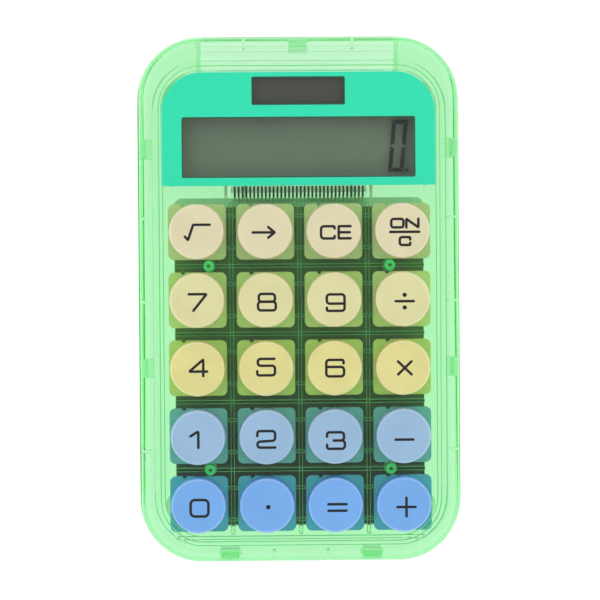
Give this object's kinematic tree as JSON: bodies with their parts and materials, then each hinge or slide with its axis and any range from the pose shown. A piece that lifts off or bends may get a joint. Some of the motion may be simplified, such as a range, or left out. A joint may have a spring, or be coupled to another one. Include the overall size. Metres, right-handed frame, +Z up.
{
  "type": "desk calculator",
  "caption": "Hand-sized desk calculator with a clear tinted case, round sprung keys, a solar-cell window and a segment display.",
  "frame": {"origin": "middle of the underside, on the surface that the rubber feet stand on", "axes": "+X to the right when reading the display, +Y from the keys to the display end, +Z up"},
  "size_m": [0.0834, 0.1364, 0.0205],
  "materials": {
    "tinted_clear_plastic": "clear with a green tint",
    "cream_key_plastic": "fine satin",
    "pale_yellow_key_plastic": "fine satin",
    "yellow_key_plastic": "fine satin",
    "pale_blue_key_plastic": "fine satin",
    "blue_key_plastic": "fine satin",
    "clear_acrylic": "polished",
    "teal_print": "screen print seen through acrylic",
    "solar_glass": "dark cell with fine bands",
    "display_glass": "clear",
    "polariser_film": "grey film",
    "reflector_film": "grey green",
    "display_ink": "dark segments",
    "lead_film": "amber film",
    "carbon_track": "printed",
    "board_laminate": "coated laminate",
    "black_silicone": "matt",
    "black_resin": "cured resin",
    "capacitor_can": "sleeved can",
    "plated_steel": "plated",
    "cell_can": "wrapped can",
    "wire_sleeve": "soft sleeve",
    "foot_rubber": "matt"
  },
  "bodies": {
    "case": {"rear_shell": "tinted_clear_plastic", "front_shell": "tinted_clear_plastic", "battery_cell": "cell_can", "battery_contact_plate": "plated_steel", "battery_contact_spring": "plated_steel", "battery_wires": "wire_sleeve", "capacitors": "capacitor_can", "case_screws": "plated_steel", "chip_blob": "black_resin", "circuit_board": "board_laminate", "display_lens": "clear_acrylic", "display_mask": "teal_print", "keypad_mat": "black_silicone", "lcd_digits": "display_ink", "lcd_front_polariser": "polariser_film", "lcd_lead": "lead_film", "lcd_lead_tracks": "carbon_track", "lcd_lower_glass": "display_glass", "lcd_reflector": "reflector_film", "lcd_upper_glass": "display_glass", "rubber_feet": "foot_rubber", "solar_cell": "solar_glass", "solar_wires": "wire_sleeve"},
    "battery_door": {"battery_door": "tinted_clear_plastic"},
    "key_root": {"key_root": "cream_key_plastic"},
    "key_shift": {"key_shift": "cream_key_plastic"},
    "key_clear_entry": {"key_clear_entry": "cream_key_plastic"},
    "key_on_clear": {"key_on_clear": "cream_key_plastic"},
    "key_7": {"key_7": "pale_yellow_key_plastic"},
    "key_8": {"key_8": "pale_yellow_key_plastic"},
    "key_9": {"key_9": "pale_yellow_key_plastic"},
    "key_divide": {"key_divide": "pale_yellow_key_plastic"},
    "key_4": {"key_4": "yellow_key_plastic"},
    "key_5": {"key_5": "yellow_key_plastic"},
    "key_6": {"key_6": "yellow_key_plastic"},
    "key_multiply": {"key_multiply": "yellow_key_plastic"},
    "key_1": {"key_1": "pale_blue_key_plastic"},
    "key_2": {"key_2": "pale_blue_key_plastic"},
    "key_3": {"key_3": "pale_blue_key_plastic"},
    "key_minus": {"key_minus": "pale_blue_key_plastic"},
    "key_0": {"key_0": "blue_key_plastic"},
    "key_point": {"key_point": "blue_key_plastic"},
    "key_equals": {"key_equals": "blue_key_plastic"},
    "key_plus": {"key_plus": "blue_key_plastic"}
  },
  "joints": [
    {"name": "key_root_press", "type": "slide", "parent": "case", "child": "key_root", "axis": [0, 0.0349, -0.9994], "range_m": [0, 0.002], "stiffness_N_per_m": 300, "springref_m": -0.0007, "deforming": ["keypad_mat"]},
    {"name": "key_shift_press", "type": "slide", "parent": "case", "child": "key_shift", "axis": [0, 0.0349, -0.9994], "range_m": [0, 0.002], "stiffness_N_per_m": 300, "springref_m": -0.0007, "deforming": ["keypad_mat"]},
    {"name": "key_clear_entry_press", "type": "slide", "parent": "case", "child": "key_clear_entry", "axis": [0, 0.0349, -0.9994], "range_m": [0, 0.002], "stiffness_N_per_m": 300, "springref_m": -0.0007, "deforming": ["keypad_mat"]},
    {"name": "key_on_clear_press", "type": "slide", "parent": "case", "child": "key_on_clear", "axis": [0, 0.0349, -0.9994], "range_m": [0, 0.002], "stiffness_N_per_m": 300, "springref_m": -0.0007, "deforming": ["keypad_mat"]},
    {"name": "key_7_press", "type": "slide", "parent": "case", "child": "key_7", "axis": [0, 0.0349, -0.9994], "range_m": [0, 0.002], "stiffness_N_per_m": 300, "springref_m": -0.0007, "deforming": ["keypad_mat"]},
    {"name": "key_8_press", "type": "slide", "parent": "case", "child": "key_8", "axis": [0, 0.0349, -0.9994], "range_m": [0, 0.002], "stiffness_N_per_m": 300, "springref_m": -0.0007, "deforming": ["keypad_mat"]},
    {"name": "key_9_press", "type": "slide", "parent": "case", "child": "key_9", "axis": [0, 0.0349, -0.9994], "range_m": [0, 0.002], "stiffness_N_per_m": 300, "springref_m": -0.0007, "deforming": ["keypad_mat"]},
    {"name": "key_divide_press", "type": "slide", "parent": "case", "child": "key_divide", "axis": [0, 0.0349, -0.9994], "range_m": [0, 0.002], "stiffness_N_per_m": 300, "springref_m": -0.0007, "deforming": ["keypad_mat"]},
    {"name": "key_4_press", "type": "slide", "parent": "case", "child": "key_4", "axis": [0, 0.0349, -0.9994], "range_m": [0, 0.002], "stiffness_N_per_m": 300, "springref_m": -0.0007, "deforming": ["keypad_mat"]},
    {"name": "key_5_press", "type": "slide", "parent": "case", "child": "key_5", "axis": [0, 0.0349, -0.9994], "range_m": [0, 0.002], "stiffness_N_per_m": 300, "springref_m": -0.0007, "deforming": ["keypad_mat"]},
    {"name": "key_6_press", "type": "slide", "parent": "case", "child": "key_6", "axis": [0, 0.0349, -0.9994], "range_m": [0, 0.002], "stiffness_N_per_m": 300, "springref_m": -0.0007, "deforming": ["keypad_mat"]},
    {"name": "key_multiply_press", "type": "slide", "parent": "case", "child": "key_multiply", "axis": [0, 0.0349, -0.9994], "range_m": [0, 0.002], "stiffness_N_per_m": 300, "springref_m": -0.0007, "deforming": ["keypad_mat"]},
    {"name": "key_1_press", "type": "slide", "parent": "case", "child": "key_1", "axis": [0, 0.0349, -0.9994], "range_m": [0, 0.002], "stiffness_N_per_m": 300, "springref_m": -0.0007, "deforming": ["keypad_mat"]},
    {"name": "key_2_press", "type": "slide", "parent": "case", "child": "key_2", "axis": [0, 0.0349, -0.9994], "range_m": [0, 0.002], "stiffness_N_per_m": 300, "springref_m": -0.0007, "deforming": ["keypad_mat"]},
    {"name": "key_3_press", "type": "slide", "parent": "case", "child": "key_3", "axis": [0, 0.0349, -0.9994], "range_m": [0, 0.002], "stiffness_N_per_m": 300, "springref_m": -0.0007, "deforming": ["keypad_mat"]},
    {"name": "key_minus_press", "type": "slide", "parent": "case", "child": "key_minus", "axis": [0, 0.0349, -0.9994], "range_m": [0, 0.002], "stiffness_N_per_m": 300, "springref_m": -0.0007, "deforming": ["keypad_mat"]},
    {"name": "key_0_press", "type": "slide", "parent": "case", "child": "key_0", "axis": [0, 0.0349, -0.9994], "range_m": [0, 0.002], "stiffness_N_per_m": 300, "springref_m": -0.0007, "deforming": ["keypad_mat"]},
    {"name": "key_point_press", "type": "slide", "parent": "case", "child": "key_point", "axis": [0, 0.0349, -0.9994], "range_m": [0, 0.002], "stiffness_N_per_m": 300, "springref_m": -0.0007, "deforming": ["keypad_mat"]},
    {"name": "key_equals_press", "type": "slide", "parent": "case", "child": "key_equals", "axis": [0, 0.0349, -0.9994], "range_m": [0, 0.002], "stiffness_N_per_m": 300, "springref_m": -0.0007, "deforming": ["keypad_mat"]},
    {"name": "key_plus_press", "type": "slide", "parent": "case", "child": "key_plus", "axis": [0, 0.0349, -0.9994], "range_m": [0, 0.002], "stiffness_N_per_m": 300, "springref_m": -0.0007, "deforming": ["keypad_mat"]},
    {"name": "battery_door_slide", "type": "slide", "parent": "case", "child": "battery_door", "axis": [0, 1, 0], "range_m": [0, 0.02]}
  ]
}
